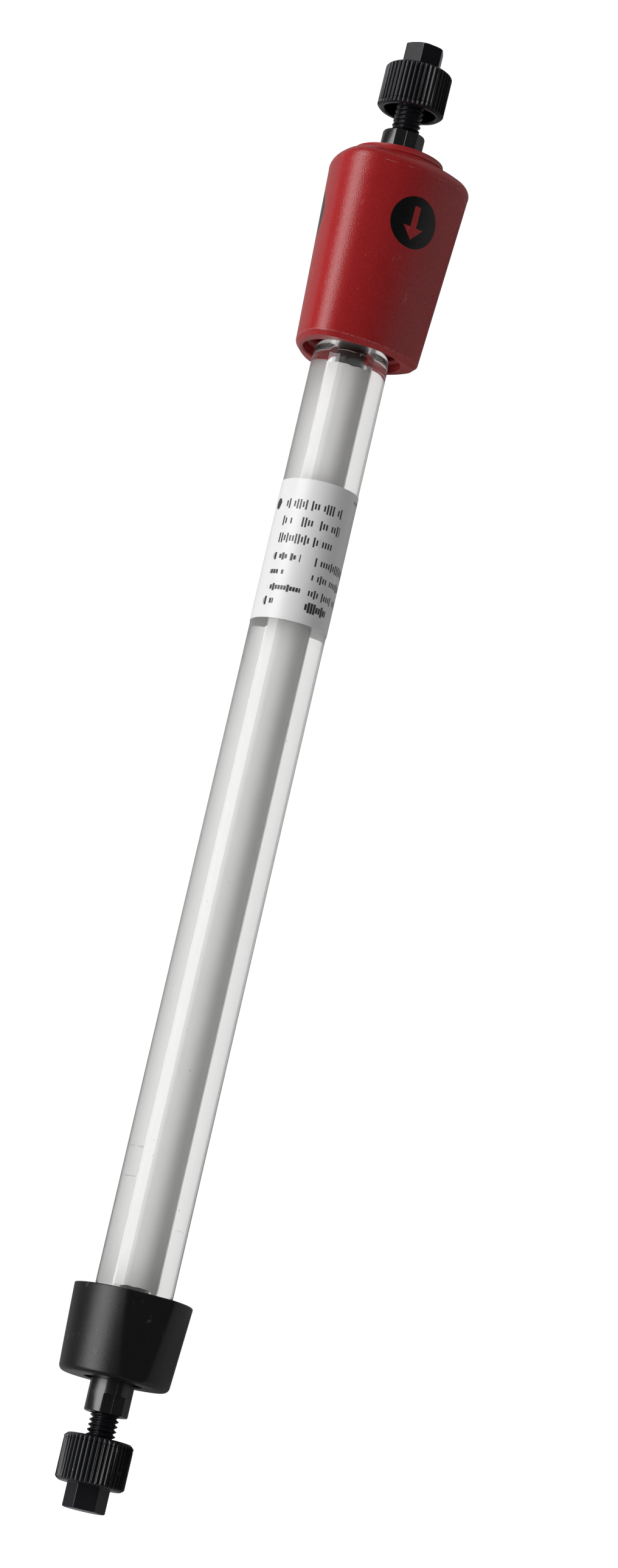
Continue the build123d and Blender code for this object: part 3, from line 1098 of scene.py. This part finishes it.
@dataclass
class InletCap:
    """Tall three-cornered cap that widens outwards to a domed shoulder and a low boss."""

    rim: float = 1.5 * MM
    body_end: float = 34.8 * MM
    boss_end: float = 36.1 * MM
    ledge: float = 33.3 * MM
    entry: float = 8.12 * MM
    rim_apothem: float = 9.12 * MM
    corner_rise: float = 1.97 * MM
    crown: float = 17.5 * MM
    flare: float = 1.72 * MM
    dome: float = 5.4 * MM
    dome_height: float = 3.0 * MM
    bevel_rise: float = 0.8 * MM
    bevel_inset: float = 0.72 * MM
    edge: float = 0.12 * MM
    boss_base: float = 7.85 * MM
    boss_top: float = 7.55 * MM
    boss_edge: float = 0.5 * MM
    valley: float = 0.5 * MM
    lowest: float = -10.635 * MM
    seam_height: float = 0.03 * MM
    seam_rows: Triple = (-0.12 * MM, -0.05 * MM, 0.02 * MM)
    boss_lip: float = 0.12 * MM
    boss_step: float = 0.15 * MM
    roll: float = 60.0
    columns: int = 420
    askew: Axle = field(default_factory=lambda: Axle(1, 0.0145, 22.2 * MM))

    def section(self, turn: np.ndarray, station: np.ndarray, inset: np.ndarray) -> np.ndarray:
        """The crowned triangle at a station, drawn in by an inset; its arcs' radii grow evenly with station.

        The corner arc's centre is the one whose circle reaches corner_rise further than the face does and
        touches the face's circle from inside.

        Args:
            turn: Turns about the axis in radians.
            station: One station for each row.
            inset: How far each row is drawn in.
        Returns:
            Radii as (rows, columns).
        """
        behind = self.crown - self.rim_apothem
        short = behind - self.corner_rise
        centre = (behind ** 2 - short ** 2) / (2.0 * short - behind)
        share = (station - self.rim) / (self.body_end - self.rim)
        grown = (self.flare * share - inset)[:, None]
        corner = self.rim_apothem + self.corner_rise - centre + grown
        return crowned_radius(turn[None, :], self.crown + grown, corner, behind, centre, self.roll)

    def outside(self, turn: np.ndarray) -> np.ndarray:
        """Rings from the rim's edge up the side, over the dome and up the boss to the recess.

        Past the seam the radius is the smooth greater of the dome's and the boss's: half of their sum plus
        the root of their difference squared and the valley squared. The face underneath is worn flat to
        the lowest height.

        Args:
            turn: Turns about the axis in radians.
        Returns:
            Points as (rows, columns, 3).
        """
        bevel = np.array([0.0, 0.25, 0.5, 0.75, 0.94])
        round_up = np.radians(np.linspace(0.0, 90.0, 17))
        seam = self.body_end - self.dome_height
        side = np.linspace(self.rim + self.bevel_rise + self.edge, seam - 0.2 * MM, 24)
        ridge = seam + np.array(self.seam_rows)
        station = np.concatenate([
            self.rim + self.bevel_rise * bevel, side, ridge,
            self.body_end - self.dome_height * (1.0 - np.sin(round_up[1:])),
        ])
        inset = np.concatenate([
            self.bevel_inset * (1.0 - bevel), 0 * side,
            np.array([0.0, -self.seam_height, 0.0]),
            self.dome * (1.0 - np.cos(round_up[1:])),
        ])
        side_of_boss = self.boss_top + (self.boss_base - self.boss_top) * np.clip(
            (self.boss_end - station) / (self.boss_end - self.body_end), 0.0, 1.4)[:, None]
        dome = self.section(turn, station, inset)
        gap = dome - side_of_boss
        joined = 0.5 * (dome + side_of_boss + np.sqrt(gap ** 2 + self.valley ** 2))
        joined = np.where(station[:, None] > seam, joined, dome)
        body = self.askew.place(joined, turn[None, :] + 0 * station[:, None],
                               station[:, None] + 0 * turn[None, :])
        body[..., 2] = np.maximum(body[..., 2], self.lowest)
        boss = [
            (self.boss_base + self.boss_lip, self.body_end + self.boss_step),
            (self.boss_top, self.boss_end - self.boss_edge),
            (self.boss_top - self.boss_lip, self.boss_end - 0.1 * MM),
            (self.boss_top - self.boss_edge, self.boss_end),
        ]
        radius, rise = np.array(boss).T[:, :, None]
        top = self.askew.place(radius + 0 * turn, turn[None, :] + 0 * radius, rise + 0 * turn)
        return np.concatenate([body, top])

    def build(self, material: bpy.types.Material) -> None:
        """The outside rings, then the hollow's rings in reverse, closed on themselves.

        Args:
            material: The red plastic.
        """
        turn = clock(self.columns)
        hollow = Hollow(self.rim, self.entry, self.ledge, self.boss_end)
        rings = np.concatenate([self.outside(turn), hollow.rings(Axle(1), turn)[::-1]])
        piece = shell("inlet_cap", rings, "top_cap", material)
        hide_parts("top_cap")


@dataclass
class OutletCap:
    """Short cone with three flats, which are widest at its outer end."""

    rim: float = 0.9 * MM
    end: float = 14.75 * MM
    ledge: float = 10.5 * MM
    entry: float = 7.9 * MM
    rim_radius: float = 9.68 * MM
    cone_taper: float = 0.85 * MM
    rim_flat: float = 8.8 * MM
    flat_taper: float = 0.21 * MM
    edge: float = 0.3 * MM
    outer_round: float = 0.9 * MM
    roll: float = 50.0
    steps: int = 26
    axle: Axle = field(default_factory=lambda: Axle(-1))

    def turns(self, cone: np.ndarray, flat: np.ndarray) -> np.ndarray:
        """For each ring, turns crowded so that a column falls on each edge between flat and cone.

        The edge stands off the flat's middle by the angle whose cosine is the flat over the cone's radius.

        Args:
            cone: The cone's radius at each ring.
            flat: The flats' distance from the axis at each ring.
        Returns:
            Turns in radians, as (rings, columns).
        """
        half = np.degrees(np.arccos(np.minimum(flat / cone, 1.0)))
        along = np.linspace(0.0, 1.0, self.steps, endpoint=False)
        rows = []
        for opening in half:
            on_flat = -opening + 2.0 * opening * along
            on_cone = opening + (120.0 - 2.0 * opening) * along
            third = np.concatenate([on_flat, on_cone])
            rows.append(np.concatenate([self.roll + 120.0 * k + third for k in range(3)]))
        return np.radians(np.array(rows))

    def build(self, material: bpy.types.Material) -> None:
        """Each ring is the smaller of the cone's radius and the flat over the cosine from its middle.

        Args:
            material: The black plastic.
        """
        lip = np.radians(np.linspace(0.0, 90.0, 5))
        bend = np.radians(np.linspace(0.0, 90.0, 9))
        side = np.linspace(self.rim + self.edge, self.end - self.outer_round, 16)[1:-1]
        station = np.concatenate([
            self.rim + self.edge * (1.0 - np.cos(lip)), side,
            self.end - self.outer_round * (1.0 - np.sin(bend)),
        ])
        inset = np.concatenate([
            self.edge * (1.0 - np.sin(lip)), 0 * side, self.outer_round * (1.0 - np.cos(bend)),
        ])
        share = (station - self.rim) / (self.end - self.rim)
        cone = self.rim_radius - self.cone_taper * share - inset
        flat = self.rim_flat - self.flat_taper * share - 0.5 * inset
        turn = self.turns(cone, flat)
        roll = math.radians(self.roll)
        off = np.mod(turn - roll + math.pi / 3.0, TAU / 3.0) - math.pi / 3.0
        radius = np.minimum(cone[:, None], flat[:, None] / np.cos(off))
        outside = self.axle.place(radius, turn, station[:, None] + 0 * turn)
        inner = Hollow(self.rim, self.entry, self.ledge, self.end)
        rings = np.concatenate([outside, inner.rings(self.axle, turn[0])[::-1]])
        piece = shell("outlet_cap", rings, "bottom_cap", material)
        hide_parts("bottom_cap")


@dataclass
class Holder:
    """Piston, keyed flange, finned body and ported stem with two wrench flats, moulded in one."""

    name: str
    axle: Axle
    shoulder_end: float
    ledge: float
    stem_end: float
    flat_roll: float
    dip: float
    piston: float = 2.495 * MM
    filter_seat: float = 2.0 * MM
    filter_depth: float = 0.8 * MM
    groove: float = 1.5 * MM
    groove_start: float = 1.6 * MM
    groove_width: float = 1.3 * MM
    flange: float = 5.5 * MM
    flange_length: float = 1.3 * MM
    key_reach: float = 7.3 * MM
    key_half: float = 1.1 * MM
    fin_half: float = 0.8 * MM
    stem: float = 3.5 * MM
    stem_flat: float = 3.0 * MM
    flat_length: float = 3.0 * MM
    stem_edge: float = 0.25 * MM
    ring_groove: float = 3.1 * MM
    ring_width: float = 0.8 * MM
    port: float = 2.46 * MM
    port_depth: float = 7.0 * MM
    channel: float = 0.3 * MM
    seam_height: float = 0.035 * MM
    seam_half: float = 1.2
    face_edge: float = 0.1 * MM
    stem_corner: float = 0.08 * MM
    port_edge: float = 0.3 * MM
    port_cone: float = 1.6 * MM
    glass_reach: float = 8.1 * MM
    ledge_thickness: float = 1.2 * MM
    gap: float = 0.1 * MM

    def columns(self) -> np.ndarray:
        """Turns that hit the edges of the flats, the mould seams, the keys and the fins.

        Returns:
            Turns in radians.
        """
        flat = math.degrees(math.acos(self.stem_flat / self.stem))
        stops = []
        for turn in (self.flat_roll, self.flat_roll + 180.0):
            stops += [turn - flat, turn + flat]
            stops += [turn + share * self.seam_half for share in (-1.0, -0.5, 0.0, 0.5, 1.0)]
        for turn in (90.0, 270.0):
            for reach in (self.key_reach, self.flange):
                lean = math.degrees(math.asin(self.key_half / reach))
                stops += [turn - lean, turn + lean]
        for turn in (0.0, 90.0, 180.0, 270.0):
            for reach in (self.flange, self.stem):
                lean = math.degrees(math.asin(self.fin_half / reach))
                stops += [turn - lean, turn + lean]
        return crowded_clock(stops, 3.0)

    def seam(self, turn: np.ndarray) -> np.ndarray:
        """A raised line at the middle of each flat, which falls evenly to nothing at seam_half degrees."""
        quarter = math.pi / 2.0
        off = np.abs(np.mod(turn - math.radians(self.flat_roll) + quarter, math.pi) - quarter)
        return self.seam_height * np.clip(1.0 - np.degrees(off) / self.seam_half, 0.0, 1.0)

    def flats(self, turn: np.ndarray, radius: float) -> np.ndarray:
        """The seam on the smaller of a circle and the flat over the cosine of the turn from its middle."""
        cosine = np.abs(np.cos(turn - math.radians(self.flat_roll)))
        return np.minimum(radius, self.stem_flat / np.maximum(cosine, 1e-6)) + self.seam(turn)

    def build(self, material: bpy.types.Material) -> None:
        """Rings from the channel round the piston and up the stem, then down the port to the channel.

        Args:
            material: The black plastic.
        """
        turn = self.columns()
        flange_start = self.shoulder_end + self.glass_reach
        flange_stop = flange_start + self.flange_length
        shoulder = self.ledge - self.gap
        ring_start = self.ledge + self.ledge_thickness + self.gap
        ring_stop = ring_start + self.ring_width
        flat_start = self.stem_end - self.flat_length
        port_floor = self.stem_end - self.port_depth
        keyed = slab_radius(turn, self.key_reach, self.key_half, self.flange, 90.0, 2)
        finned = slab_radius(turn, self.flange, self.fin_half, self.stem, 0.0, 4)
        round_stem = self.stem + self.seam(turn)
        groove_stop = self.groove_start + self.groove_width
        rows = [
            (self.channel, self.filter_depth), (self.filter_seat, self.filter_depth),
            (self.filter_seat, -self.dip), (self.piston - self.face_edge, -self.dip),
            (self.piston, self.face_edge - self.dip), (self.piston, self.groove_start),
            (self.groove, self.groove_start), (self.groove, groove_stop), (self.piston, groove_stop),
            (self.piston, flange_start), (keyed, flange_start), (keyed, flange_stop),
        ]
        if shoulder - flange_stop > self.flange_length:
            rows += [
                (finned, flange_stop), (finned, shoulder - self.flange_length),
                (self.flange, shoulder - self.flange_length), (self.flange, shoulder),
            ]
        rows += [
            (round_stem, max(shoulder, flange_stop)), (round_stem, ring_start),
            (self.ring_groove, ring_start), (self.ring_groove, ring_stop), (round_stem, ring_stop),
            (round_stem, flat_start), (self.flats(turn, self.stem), flat_start),
            (self.flats(turn, self.stem), self.stem_end - self.stem_edge),
            (self.flats(turn, self.stem - self.stem_corner), self.stem_end - self.stem_corner),
            (self.flats(turn, self.stem - self.stem_edge) - self.face_edge, self.stem_end),
            (self.port + self.port_edge, self.stem_end), (self.port, self.stem_end - self.port_edge),
            (self.port, port_floor + self.port_cone), (self.channel, port_floor),
        ]
        rings = self.axle.rings(rows, turn)
        piece = shell(f"{self.name}_holder", rings, f"{self.name}_end", material)
        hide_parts(f"{self.name}_filter_holder")


@dataclass
class StopPlug:
    """Screw with a coned tip, and a ribbed wheel, hollow towards the column, with a hexagonal head."""

    name: str
    axle: Axle
    stem_end: float
    hex_roll: float
    showing: float = 3.85 * MM
    wheel: float = 5.55 * MM
    wheel_length: float = 7.5 * MM
    middle: float = 1.2 * MM
    recess: float = 4.3 * MM
    web: float = 1.6 * MM
    ribs: int = 44
    rib_depth: float = 0.3 * MM
    rib_power: float = 2.2
    edge: float = 0.5 * MM
    round_edge: float = 0.1 * MM
    line_at: float = 0.95 * MM
    line_depth: float = 0.09 * MM
    hex_apothem: float = 3.0 * MM
    hex_corner: float = 0.25 * MM
    hex_length: float = 3.95 * MM
    hex_edge: float = 0.25 * MM
    crest: float = 2.34 * MM
    root: float = 1.84 * MM
    pitch: float = 0.794 * MM
    port_depth: float = 7.0 * MM
    tip: float = 0.5 * MM
    tip_clearance: float = 0.25 * MM
    cone_length: float = 1.35 * MM
    thread_setback: float = 1.2 * MM
    runout: float = 0.2 * MM

    def wheel_rings(self, turn: np.ndarray) -> np.ndarray:
        """Rings from the recess's floor out over the ribs to the end of the hexagon.

        A rib's share of the depth is one plus the cosine of its own turn, halved and raised to a power, so
        that its crest is narrower than the valley. The hexagon's end is turned to a cone: its radius is at
        most the apothem times a number that grows with the root of the distance from the end.

        Args:
            turn: Turns about the axis in radians.
        Returns:
            Points as (rows, columns, 3).
        """
        start = self.stem_end + self.showing
        end = start + self.wheel_length
        floor = end - self.web
        crest = (0.5 + 0.5 * np.cos(self.ribs * turn)) ** self.rib_power
        ribbed = self.wheel - self.rib_depth * (1.0 - crest)
        line = ribbed - self.line_depth
        hexagon = polygon_radius(turn, 6, self.hex_apothem, self.hex_corner, self.hex_roll)
        top = end + self.hex_length
        turned = []
        for share in (2.4, 1.9, 1.5, 1.15, 0.8, 0.5, 0.25, 0.08):
            cone = self.hex_apothem * (0.985 + 0.19 * math.sqrt(share))
            turned.append((np.minimum(hexagon, cone), top - self.hex_edge * share))
        root = self.wheel - self.rib_depth
        at = start + self.line_at
        rows = [
            (self.middle, floor), (self.recess - 0.4 * MM, floor),
            (self.recess - self.round_edge, floor - self.round_edge),
            (self.recess, floor - 0.4 * MM), (self.recess, start + 0.2 * MM),
            (self.recess + 0.2 * MM, start), (root - 0.25 * MM, start),
            (np.minimum(ribbed, root + 0.02 * MM), start + 0.22 * MM), (ribbed, start + self.edge),
            (ribbed, at - 0.08 * MM), (line, at - 0.04 * MM),
            (line, at + 0.04 * MM), (ribbed, at + 0.08 * MM),
            (ribbed, end - self.edge), (np.minimum(ribbed, root + 0.06 * MM), end - 0.22 * MM),
            (root - 0.3 * MM, end), (self.hex_apothem * 1.28, end), (hexagon + 0.12 * MM, end),
            (hexagon, end + 0.12 * MM), *turned,
            (np.minimum(hexagon, self.hex_apothem * 0.985) - self.round_edge, top), (self.middle, top),
        ]
        return self.axle.rings(rows, turn)

    def screw_rings(self, turn: np.ndarray) -> np.ndarray:
        """The root's radius plus the thread's height, which fades out at the tip and under the wheel.

        Args:
            turn: Turns about the axis in radians.
        Returns:
            Points as (rows, columns, 3).
        """
        tip = self.stem_end - self.port_depth + self.tip_clearance
        cone_end = tip + self.cone_length
        end = self.stem_end + self.showing + self.wheel_length - self.web
        thread_end = end - self.thread_setback
        count = round((thread_end - cone_end) / (self.pitch / 14.0))
        station = np.linspace(cone_end, thread_end, count)
        fade = np.clip((station - cone_end) / self.pitch, 0, 1)
        fade = fade * np.clip((thread_end - self.runout - station) / self.pitch, 0, 1)
        height = helix_height(turn[None, :], station[:, None], self.pitch, self.axle.direction)
        radius = self.root + (self.crest - self.root) * height * fade[:, None]
        ends = [(self.tip, tip), (self.tip + 0.05 * MM, tip + 0.02 * MM)]
        tails = [(self.root, end - 0.5 * MM), (self.root + 0.3 * MM, end), (self.root, end + 0.3 * MM)]
        return self.axle.rings([*ends, *zip(radius, station), *tails], turn)

    def build(self, material: bpy.types.Material) -> None:
        """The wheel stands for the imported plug; the screw is sunk a little into its web.

        Args:
            material: The glossy black plastic.
        """
        wheel = shell(f"{self.name}_plug_wheel", self.wheel_rings(clock(528, self.hex_roll)),
                      f"{self.name}_plug", material, capped=True)
        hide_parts(f"{self.name}_stop_plug")
        shell(f"{self.name}_plug_screw", self.screw_rings(clock(72)), f"{self.name}_plug",
              material, capped=True, sharp=60.0)


# ---------------------------------------------------------------- studio


@dataclass
class Studio:
    """White table, one long softbox above the far side, and the camera."""

    table_colour: Colour = rgb(0.67, 0.67, 0.67)
    table_shade: Colour = rgb(0.64, 0.64, 0.64)
    table_glow: float = 0.02
    table_bare: float = 1.1
    table_in_gloss: float = 0.12
    table_half: float = 4.0
    gloss_share: float = 0.7
    shadow_lift: float = 0.92
    sky_far: float = 0.12
    sky_near: float = 0.05
    sky_in_glass: float = 0.55
    sky_on_gel: float = 0.3
    box_direction: Triple = (0.0, 0.375, 0.927)
    box_distance: float = 1.0
    box_shift: float = 0.18
    box_size: tuple[float, float] = (2.5, 0.65)
    box_radiance: float = 4.25
    inlet_rest: tuple[float, float] = (108.8 * MM, -10.66 * MM)
    outlet_rest: tuple[float, float] = (-77.6 * MM, -9.35 * MM)
    lens: float = 120.23
    axis_in_view: Triple = (0.22038, 0.95615, -0.19287)
    middle_in_view: Triple = (-10.42 * MM, -5.68 * MM, -836.0 * MM)
    side_tilt: float = 30.0

    def table(self) -> None:
        """A wide plane through the two lowest places of the caps, which glows a little."""
        (x0, z0), (x1, z1) = self.inlet_rest, self.outlet_rest
        slope = (z0 - z1) / (x0 - x1)
        half = self.table_half
        square = ((-half, -half), (half, -half), (half, half), (-half, half))
        corners = [(x, y, z0 + slope * (x - x0)) for x, y in square]
        mesh = bpy.data.meshes.new("table")
        mesh.from_pydata(corners, [], [(0, 1, 2, 3)])
        graph = Graph("white_table")
        lit = graph.node("ShaderNodeBsdfPrincipled", None, {
            "Base Color": graph.mix(graph.noise(40.0, 3.0, 0.6), self.table_colour, self.table_shade),
            "Roughness": 0.9,
            "Specular IOR Level": 0.0,
            "Emission Color": WHITE,
            "Emission Strength": self.table_glow,
        })
        even = graph.node("ShaderNodeEmission", None, {"Color": WHITE, "Strength": self.table_bare})
        dim = graph.node("ShaderNodeEmission", None, {"Color": WHITE, "Strength": self.table_in_gloss})
        path = graph.node("ShaderNodeLightPath").outputs
        direct = Value(graph, path["Is Camera Ray"])
        gloss = Value(graph, path["Is Glossy Ray"])
        through = Value(graph, path["Is Transmission Ray"])
        shader = graph.blend(gloss * (1.0 - through) * self.gloss_share, lit, dim)
        shader = graph.blend(direct * self.shadow_lift, shader, even)
        mesh.materials.append(graph.surface(shader))
        table = bpy.data.objects.new("table", mesh)
        bpy.context.scene.collection.objects.link(table)

    def world(self) -> None:
        """A white room that is brighter on the far side: its light grows evenly with the direction's Y.

        Rays that come through the glass see it at another strength, and the gel takes that less.
        """
        world = bpy.data.worlds.new("room")
        world.use_nodes = True
        tree = world.node_tree
        direction = tree.nodes.new("ShaderNodeTexCoord").outputs["Generated"]
        parts = tree.nodes.new("ShaderNodeSeparateXYZ")
        tree.links.new(direction, parts.inputs[0])
        spread = tree.nodes.new("ShaderNodeMapRange")
        spread.inputs["From Min"].default_value = -1.0
        spread.inputs["From Max"].default_value = 1.0
        spread.inputs["To Min"].default_value = self.sky_near
        spread.inputs["To Max"].default_value = self.sky_far
        tree.links.new(parts.outputs["Y"], spread.inputs["Value"])
        seen = tree.nodes.new("ShaderNodeMapRange")
        seen.inputs["To Max"].default_value = self.sky_in_glass
        tree.links.new(spread.outputs[0], seen.inputs["To Min"])
        path = tree.nodes.new("ShaderNodeLightPath").outputs
        first = tree.nodes.new("ShaderNodeMath")
        first.operation = "MULTIPLY_ADD"
        first.inputs[1].default_value = -self.sky_on_gel
        tree.links.new(path["Diffuse Depth"], first.inputs[0])
        tree.links.new(path["Is Transmission Ray"], first.inputs[2])
        tree.links.new(first.outputs[0], seen.inputs["Value"])
        tree.links.new(seen.outputs[0], tree.nodes["Background"].inputs[1])
        tree.nodes["Background"].inputs[0].default_value = WHITE
        bpy.context.scene.world = world

    def softbox(self) -> None:
        """A rectangle of light that faces the column, its long side along it.

        Its power is its radiance times pi times its area. It reaches what lies in the glass only by the
        glass's clear shader, so it isn't counted twice.
        """
        light = bpy.data.lights.new("softbox", "AREA")
        light.shape = "RECTANGLE"
        light.size, light.size_y = self.box_size
        light.energy = self.box_radiance * math.pi * self.box_size[0] * self.box_size[1]
        lamp = bpy.data.objects.new("softbox", light)
        lamp.visible_transmission = False
        back = Vector(self.box_direction).normalized()
        place = back * self.box_distance + Vector((self.box_shift, 0, 0))
        lamp.matrix_world = Matrix.Translation(place) @ frame_of(Vector((1, 0, 0)), back)
        bpy.context.scene.collection.objects.link(lamp)

    def camera(self) -> None:
        """The camera that sees the column's axis and middle where the two fields say, in its own axes.

        Both the camera and the table have the column's axis and the direction square to it that points at
        the viewer, so the turn between them is found by laying one set of three directions on the other.
        """
        axis = Vector(self.axis_in_view).normalized()
        side = axis.cross(Vector((0, 0, 1))).normalized()
        seen = Matrix((axis, side, side.cross(axis))).transposed()
        tilt = math.radians(self.side_tilt)
        across = Vector((0, -math.cos(tilt), -math.sin(tilt)))
        towards = Vector((0, -math.sin(tilt), math.cos(tilt)))
        laid = Matrix((Vector((1, 0, 0)), across, towards)).transposed()
        turn = laid @ seen.transposed()
        data = bpy.data.cameras.new("camera")
        data.sensor_width = 36.0
        data.lens = self.lens
        data.clip_start = 0.01
        eye = bpy.data.objects.new("camera", data)
        eye.matrix_world = Matrix.Translation(turn @ -Vector(self.middle_in_view)) @ turn.to_4x4()
        bpy.context.scene.collection.objects.link(eye)
        bpy.context.scene.camera = eye

    def build(self) -> None:
        """Builds the table, the room, the lamp and the camera, and keeps colours as they are lit."""
        self.table()
        self.world()
        self.softbox()
        self.camera()
        scene = bpy.context.scene
        scene.view_settings.view_transform = "Standard"
        scene.cycles.use_denoising = True
        scene.cycles.transmission_bounces = 24
        scene.cycles.max_bounces = 24


def frame_of(side: Vector, back: Vector) -> Matrix:
    """A rotation whose X is side and whose Z is back.

    Args:
        side: Unit direction of its X.
        back: Unit direction of its Z, square to side.
    Returns:
        A 4 x 4 rotation.
    """
    return Matrix((side, back.cross(side), back)).transposed().to_4x4()


def dress(nodes: dict, name: str, finish: Finish, material: bpy.types.Material) -> None:
    """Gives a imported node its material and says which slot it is.

    Args:
        nodes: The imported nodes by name.
        name: The node's name.
        finish: Its slot.
        material: Its material.
    """
    node = nodes[name]
    node.data.materials.clear()
    node.data.materials.append(material)
    LOG.info("%s: packed node dressed as %s", name, finish.value)


def main(frame: dict) -> None:
    """Builds the finishes, then each piece, then the studio.
    """
    red = InletCapPlastic(
        "red_cap", rgb(0.28, 0.007, 0.009), rgb(0.40, 0.021, 0.024), roughness=0.28,
        grain_size=0.17 * MM, grain_height=0.042 * MM, dust=0.35,
    ).material()
    black = MouldedPlastic(
        "black_cap", rgb(0.004, 0.0036, 0.004), rgb(0.009, 0.0085, 0.009), roughness=0.34,
        grain_size=0.11 * MM, grain_height=0.023 * MM, dust=0.3,
    ).material()
    holder = PistonPlastic(
        "holder_black", rgb(0.006, 0.006, 0.007), rgb(0.012, 0.012, 0.013), roughness=0.23,
        grain_height=0.016 * MM, specular=0.85,
    ).material()
    plug = MouldedPlastic(
        "plug_black", rgb(0.006, 0.0062, 0.008), rgb(0.010, 0.0104, 0.013), roughness=0.2,
        grain_height=0.004 * MM, specular=0.36,
    ).material()
    collar = MouldedPlastic("collar_black", rgb(0.010, 0.010, 0.011), rgb(0.016, 0.016, 0.017)).material()
    sintered = PlainMatter("porous_disc", rgb(0.8, 0.79, 0.76), rgb(0.66, 0.65, 0.62), 0.8).material()
    rubber = PlainMatter("black_rubber", rgb(0.01, 0.01, 0.01), rgb(0.016, 0.016, 0.016), 0.45).material()
    steel = PlainMatter(
        "dark_spring_steel", rgb(0.08, 0.08, 0.085), rgb(0.05, 0.05, 0.055), 0.4, 1.0,
        stretch=(1.0, 0.2, 0.2),
    ).material()
    film = PrintedFilm().material()
    GlassTube().build(ClearGlass().material())
    PackedBed().build(PackedGel().material())
    Label().build(film)
    InletCap().build(red)
    OutletCap().build(black)
    askew = Axle(1, slope=0.0115, pivot=22.2 * MM, held=22.2 * MM)
    Holder("top", askew, 3.0 * MM, 33.3 * MM, 40.2 * MM, 37.5, 1.25 * MM).build(holder)
    Holder("bottom", Axle(-1), 1.0 * MM, 10.5 * MM, 20.0 * MM, 45.0, 1.0 * MM).build(holder)
    StopPlug("top", askew, 40.2 * MM, 55.0).build(plug)
    StopPlug("bottom", Axle(-1), 20.0 * MM, 30.0).build(plug)
    for end in ("top", "bottom"):
        dress(frame["nodes"], f"{end}_collar_upper", Finish.COLLAR, collar)
        dress(frame["nodes"], f"{end}_collar_lower", Finish.COLLAR, collar)
        dress(frame["nodes"], f"{end}_filter", Finish.FILTER, sintered)
        dress(frame["nodes"], f"{end}_o_ring", Finish.RUBBER, rubber)
        dress(frame["nodes"], f"{end}_snap_ring", Finish.STEEL, steel)
    Studio().build()


if __name__ == "__main__":
    logging.basicConfig(level=logging.INFO, format="%(name)s: %(message)s")
    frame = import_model()
    main(frame)
